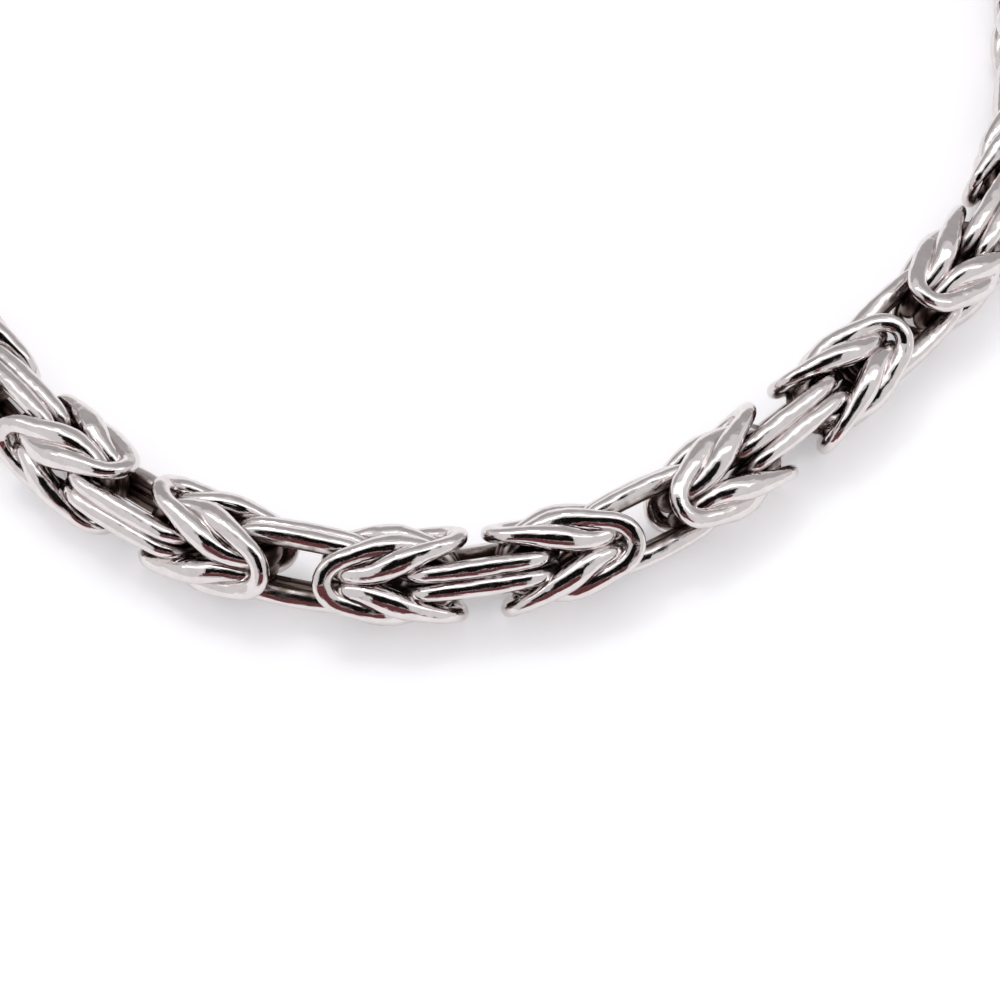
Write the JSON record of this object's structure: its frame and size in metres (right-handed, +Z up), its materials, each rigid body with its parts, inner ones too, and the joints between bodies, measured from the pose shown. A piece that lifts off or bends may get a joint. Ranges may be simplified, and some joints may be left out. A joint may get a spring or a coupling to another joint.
{
  "type": "byzantine chain necklace",
  "caption": "Polished silver byzantine chain necklace laid as a closed loop, woven from paired oval wire links, with two end rings and a plain closed clasp.",
  "frame": {"origin": "middle of the laid loop's bounding box, on the surface that it lies on", "axes": "+Z up from the surface, -Y towards the front of the loop, +Y towards the clasp, X across the loop"},
  "size_m": [0.1064, 0.1707, 0.0069],
  "materials": {
    "chain_silver": "polished",
    "fitting_silver": "polished"
  },
  "bodies": {
    "root": {"chain_left": "chain_silver", "chain_right": "chain_silver", "end_ring_left": "fitting_silver", "end_ring_right": "fitting_silver", "clasp": "fitting_silver"}
  },
  "joints": []
}
